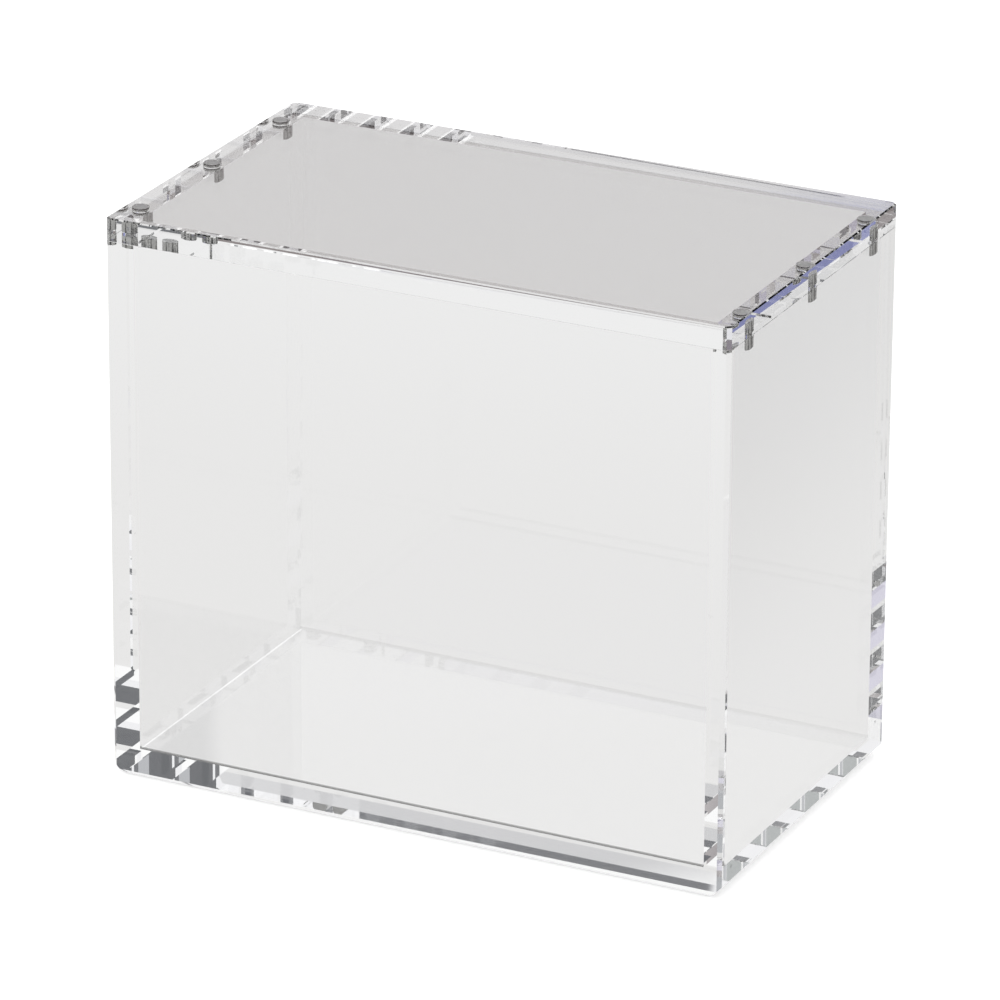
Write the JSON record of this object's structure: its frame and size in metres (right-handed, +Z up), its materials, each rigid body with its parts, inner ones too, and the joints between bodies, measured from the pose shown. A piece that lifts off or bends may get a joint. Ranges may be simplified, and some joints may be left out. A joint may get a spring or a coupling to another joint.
{
  "type": "storage box",
  "caption": "Clear acrylic storage box: flat base, four bonded walls and a flush flat lid plate that lifts straight off and is held by small round magnets.",
  "frame": {"origin": "middle of the underside of the base", "axes": "+X along the long sides towards the right wall, +Y from the front wall to the back wall, +Z up through the lid"},
  "size_m": [0.1544, 0.091, 0.136],
  "materials": {
    "clear_acrylic": "clear, polished on the faces and the cut edges",
    "nickel_plating": "bright nickel plating, a little dulled"
  },
  "bodies": {
    "case": {"base_panel": "clear_acrylic", "front_panel": "clear_acrylic", "back_panel": "clear_acrylic", "left_panel": "clear_acrylic", "right_panel": "clear_acrylic", "wall_magnet_left_front": "nickel_plating", "wall_magnet_left_middle": "nickel_plating", "wall_magnet_left_back": "nickel_plating", "wall_magnet_right_front": "nickel_plating", "wall_magnet_right_middle": "nickel_plating", "wall_magnet_right_back": "nickel_plating"},
    "lid": {"lid_panel": "clear_acrylic", "lid_magnet_left_front": "nickel_plating", "lid_magnet_left_middle": "nickel_plating", "lid_magnet_left_back": "nickel_plating", "lid_magnet_right_front": "nickel_plating", "lid_magnet_right_middle": "nickel_plating", "lid_magnet_right_back": "nickel_plating"}
  },
  "joints": [
    {"name": "lid_lift", "type": "slide", "parent": "case", "child": "lid", "axis": [0, 0, 1], "range_m": [0, 0.15]}
  ]
}
